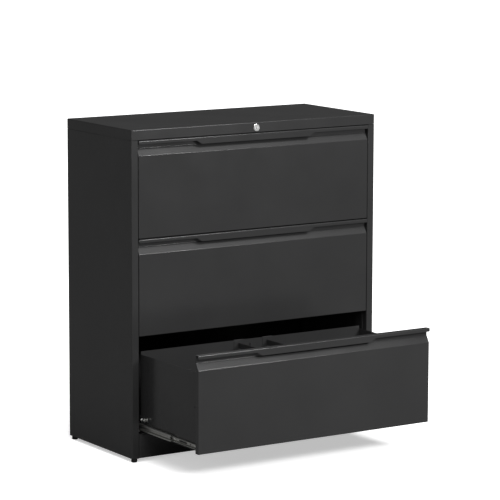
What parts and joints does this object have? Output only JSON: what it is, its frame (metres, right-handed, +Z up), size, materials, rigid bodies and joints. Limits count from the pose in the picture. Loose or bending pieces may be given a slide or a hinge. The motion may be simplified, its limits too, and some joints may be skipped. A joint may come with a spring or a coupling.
{
  "type": "lateral filing cabinet",
  "caption": "Wide steel lateral filing cabinet with recessed full-width drawer pulls, hanging-file rails, telescopic ball-bearing slides, a central lock and levelling feet.",
  "frame": {"origin": "on the floor, under the middle of the cabinet body's footprint (the open drawer stands out in front of it)", "axes": "+X to the cabinet's right as seen from its front, +Y to its back, +Z up; drawers pull out along -Y"},
  "size_m": [0.9, 0.7443, 1.03],
  "materials": {
    "cabinet_paint": "satin black-charcoal powder coat with a very fine texture",
    "drawer_paint": "satin black-charcoal powder coat with a very fine texture",
    "slide_steel": "zinc-plated cold-rolled steel, dull",
    "zinc_fasteners": "bright zinc plate",
    "ball_steel": "polished balls in stamped steel strips",
    "lock_chrome": "satin nickel plate",
    "lock_plug_metal": "worn nickel plate",
    "nylon": "natural nylon",
    "foot_plastic": "moulded black plastic"
  },
  "bodies": {
    "cabinet": {"left_side_panel": "cabinet_paint", "right_side_panel": "cabinet_paint", "top_panel": "cabinet_paint", "top_stiffeners": "cabinet_paint", "back_panel": "cabinet_paint", "base_panel": "cabinet_paint", "kick_plate": "cabinet_paint", "slide_posts": "cabinet_paint", "outer_slides": "slide_steel", "slide_screws": "zinc_fasteners", "foot_brackets": "slide_steel", "lock_housing": "lock_chrome", "lock_nut": "zinc_fasteners", "lock_guides": "nylon"},
    "drawer_1": {"drawer_1_front": "drawer_paint", "drawer_1_liner": "drawer_paint", "drawer_1_left_side": "drawer_paint", "drawer_1_right_side": "drawer_paint", "drawer_1_tray": "drawer_paint", "drawer_1_file_rails": "drawer_paint", "drawer_1_inner_slides": "slide_steel", "drawer_1_screws": "zinc_fasteners", "drawer_1_catch": "slide_steel"},
    "drawer_1_middle_member": {"drawer_1_middle_slides": "slide_steel"},
    "drawer_1_outer_cage": {"drawer_1_outer_ball_cages": "ball_steel"},
    "drawer_1_inner_cage": {"drawer_1_inner_ball_cages": "ball_steel"},
    "drawer_2": {"drawer_2_front": "drawer_paint", "drawer_2_liner": "drawer_paint", "drawer_2_left_side": "drawer_paint", "drawer_2_right_side": "drawer_paint", "drawer_2_tray": "drawer_paint", "drawer_2_file_rails": "drawer_paint", "drawer_2_inner_slides": "slide_steel", "drawer_2_screws": "zinc_fasteners", "drawer_2_catch": "slide_steel"},
    "drawer_2_middle_member": {"drawer_2_middle_slides": "slide_steel"},
    "drawer_2_outer_cage": {"drawer_2_outer_ball_cages": "ball_steel"},
    "drawer_2_inner_cage": {"drawer_2_inner_ball_cages": "ball_steel"},
    "drawer_3": {"drawer_3_front": "drawer_paint", "drawer_3_liner": "drawer_paint", "drawer_3_left_side": "drawer_paint", "drawer_3_right_side": "drawer_paint", "drawer_3_tray": "drawer_paint", "drawer_3_file_rails": "drawer_paint", "drawer_3_inner_slides": "slide_steel", "drawer_3_screws": "zinc_fasteners", "drawer_3_catch": "slide_steel"},
    "drawer_3_middle_member": {"drawer_3_middle_slides": "slide_steel"},
    "drawer_3_outer_cage": {"drawer_3_outer_ball_cages": "ball_steel"},
    "drawer_3_inner_cage": {"drawer_3_inner_ball_cages": "ball_steel"},
    "lock_cylinder": {"lock_plug": "lock_plug_metal", "lock_spindle": "slide_steel", "lock_crank": "slide_steel"},
    "lock_cross_bar": {"lock_cross_bar": "slide_steel"},
    "lock_bar": {"lock_bar": "slide_steel", "lock_hooks": "slide_steel"},
    "foot_front_left": {"foot_front_left": "foot_plastic"},
    "foot_front_right": {"foot_front_right": "foot_plastic"},
    "foot_rear_left": {"foot_rear_left": "foot_plastic"},
    "foot_rear_right": {"foot_rear_right": "foot_plastic"}
  },
  "joints": [
    {"name": "drawer_1_slide", "type": "slide", "parent": "cabinet", "child": "drawer_1", "axis": [0, -1, 0], "range_m": [0, 0.35]},
    {"name": "drawer_1_middle_member_slide", "type": "slide", "parent": "cabinet", "child": "drawer_1_middle_member", "axis": [0, -1, 0], "range_m": [0, 0.1996]},
    {"name": "drawer_1_outer_cage_slide", "type": "slide", "parent": "cabinet", "child": "drawer_1_outer_cage", "axis": [0, -1, 0], "range_m": [0, 0.0998]},
    {"name": "drawer_1_inner_cage_slide", "type": "slide", "parent": "cabinet", "child": "drawer_1_inner_cage", "axis": [0, -1, 0], "range_m": [0, 0.2748]},
    {"name": "drawer_2_slide", "type": "slide", "parent": "cabinet", "child": "drawer_2", "axis": [0, -1, 0], "range_m": [0, 0.35]},
    {"name": "drawer_2_middle_member_slide", "type": "slide", "parent": "cabinet", "child": "drawer_2_middle_member", "axis": [0, -1, 0], "range_m": [0, 0.1996]},
    {"name": "drawer_2_outer_cage_slide", "type": "slide", "parent": "cabinet", "child": "drawer_2_outer_cage", "axis": [0, -1, 0], "range_m": [0, 0.0998]},
    {"name": "drawer_2_inner_cage_slide", "type": "slide", "parent": "cabinet", "child": "drawer_2_inner_cage", "axis": [0, -1, 0], "range_m": [0, 0.2748]},
    {"name": "drawer_3_slide", "type": "slide", "parent": "cabinet", "child": "drawer_3", "axis": [0, -1, 0], "range_m": [-0.3423, 0.0077]},
    {"name": "drawer_3_middle_member_slide", "type": "slide", "parent": "cabinet", "child": "drawer_3_middle_member", "axis": [0, -1, 0], "range_m": [-0.1952, 0.0045]},
    {"name": "drawer_3_outer_cage_slide", "type": "slide", "parent": "cabinet", "child": "drawer_3_outer_cage", "axis": [0, -1, 0], "range_m": [-0.0977, 0.0023]},
    {"name": "drawer_3_inner_cage_slide", "type": "slide", "parent": "cabinet", "child": "drawer_3_inner_cage", "axis": [0, -1, 0], "range_m": [-0.2688, 0.0061]},
    {"name": "lock_bar_slide", "type": "slide", "parent": "cabinet", "child": "lock_bar", "axis": [0, 0, -1], "range_m": [0, 0.012]},
    {"name": "lock_turn", "type": "hinge", "parent": "cabinet", "child": "lock_cylinder", "pos_m": [0, -0.2, 1.0124], "axis": [0, 1, 0], "range_deg": [0, 90]},
    {"name": "lock_cross_bar_slide", "type": "slide", "parent": "cabinet", "child": "lock_cross_bar", "axis": [-1, 0, 0], "range_m": [0, 0.01698]},
    {"name": "foot_front_left_screw", "type": "slide", "parent": "cabinet", "child": "foot_front_left", "axis": [0, 0, -1], "range_m": [0, 0.015]},
    {"name": "foot_front_right_screw", "type": "slide", "parent": "cabinet", "child": "foot_front_right", "axis": [0, 0, -1], "range_m": [0, 0.015]},
    {"name": "foot_rear_left_screw", "type": "slide", "parent": "cabinet", "child": "foot_rear_left", "axis": [0, 0, -1], "range_m": [0, 0.015]},
    {"name": "foot_rear_right_screw", "type": "slide", "parent": "cabinet", "child": "foot_rear_right", "axis": [0, 0, -1], "range_m": [0, 0.015]}
  ],
  "couplings": [
    {"joint": "drawer_1_middle_member_slide", "follows": "drawer_1_slide", "ratio": 0.57},
    {"joint": "drawer_1_outer_cage_slide", "follows": "drawer_1_slide", "ratio": 0.285},
    {"joint": "drawer_1_inner_cage_slide", "follows": "drawer_1_slide", "ratio": 0.785},
    {"joint": "drawer_2_middle_member_slide", "follows": "drawer_2_slide", "ratio": 0.57},
    {"joint": "drawer_2_outer_cage_slide", "follows": "drawer_2_slide", "ratio": 0.285},
    {"joint": "drawer_2_inner_cage_slide", "follows": "drawer_2_slide", "ratio": 0.785},
    {"joint": "drawer_3_middle_member_slide", "follows": "drawer_3_slide", "ratio": 0.57},
    {"joint": "drawer_3_outer_cage_slide", "follows": "drawer_3_slide", "ratio": 0.285},
    {"joint": "drawer_3_inner_cage_slide", "follows": "drawer_3_slide", "ratio": 0.785},
    {"joint": "lock_turn", "follows": "lock_bar_slide", "rad_per_m": 130.9},
    {"joint": "lock_cross_bar_slide", "follows": "lock_bar_slide", "ratio": 1.4142}
  ]
}
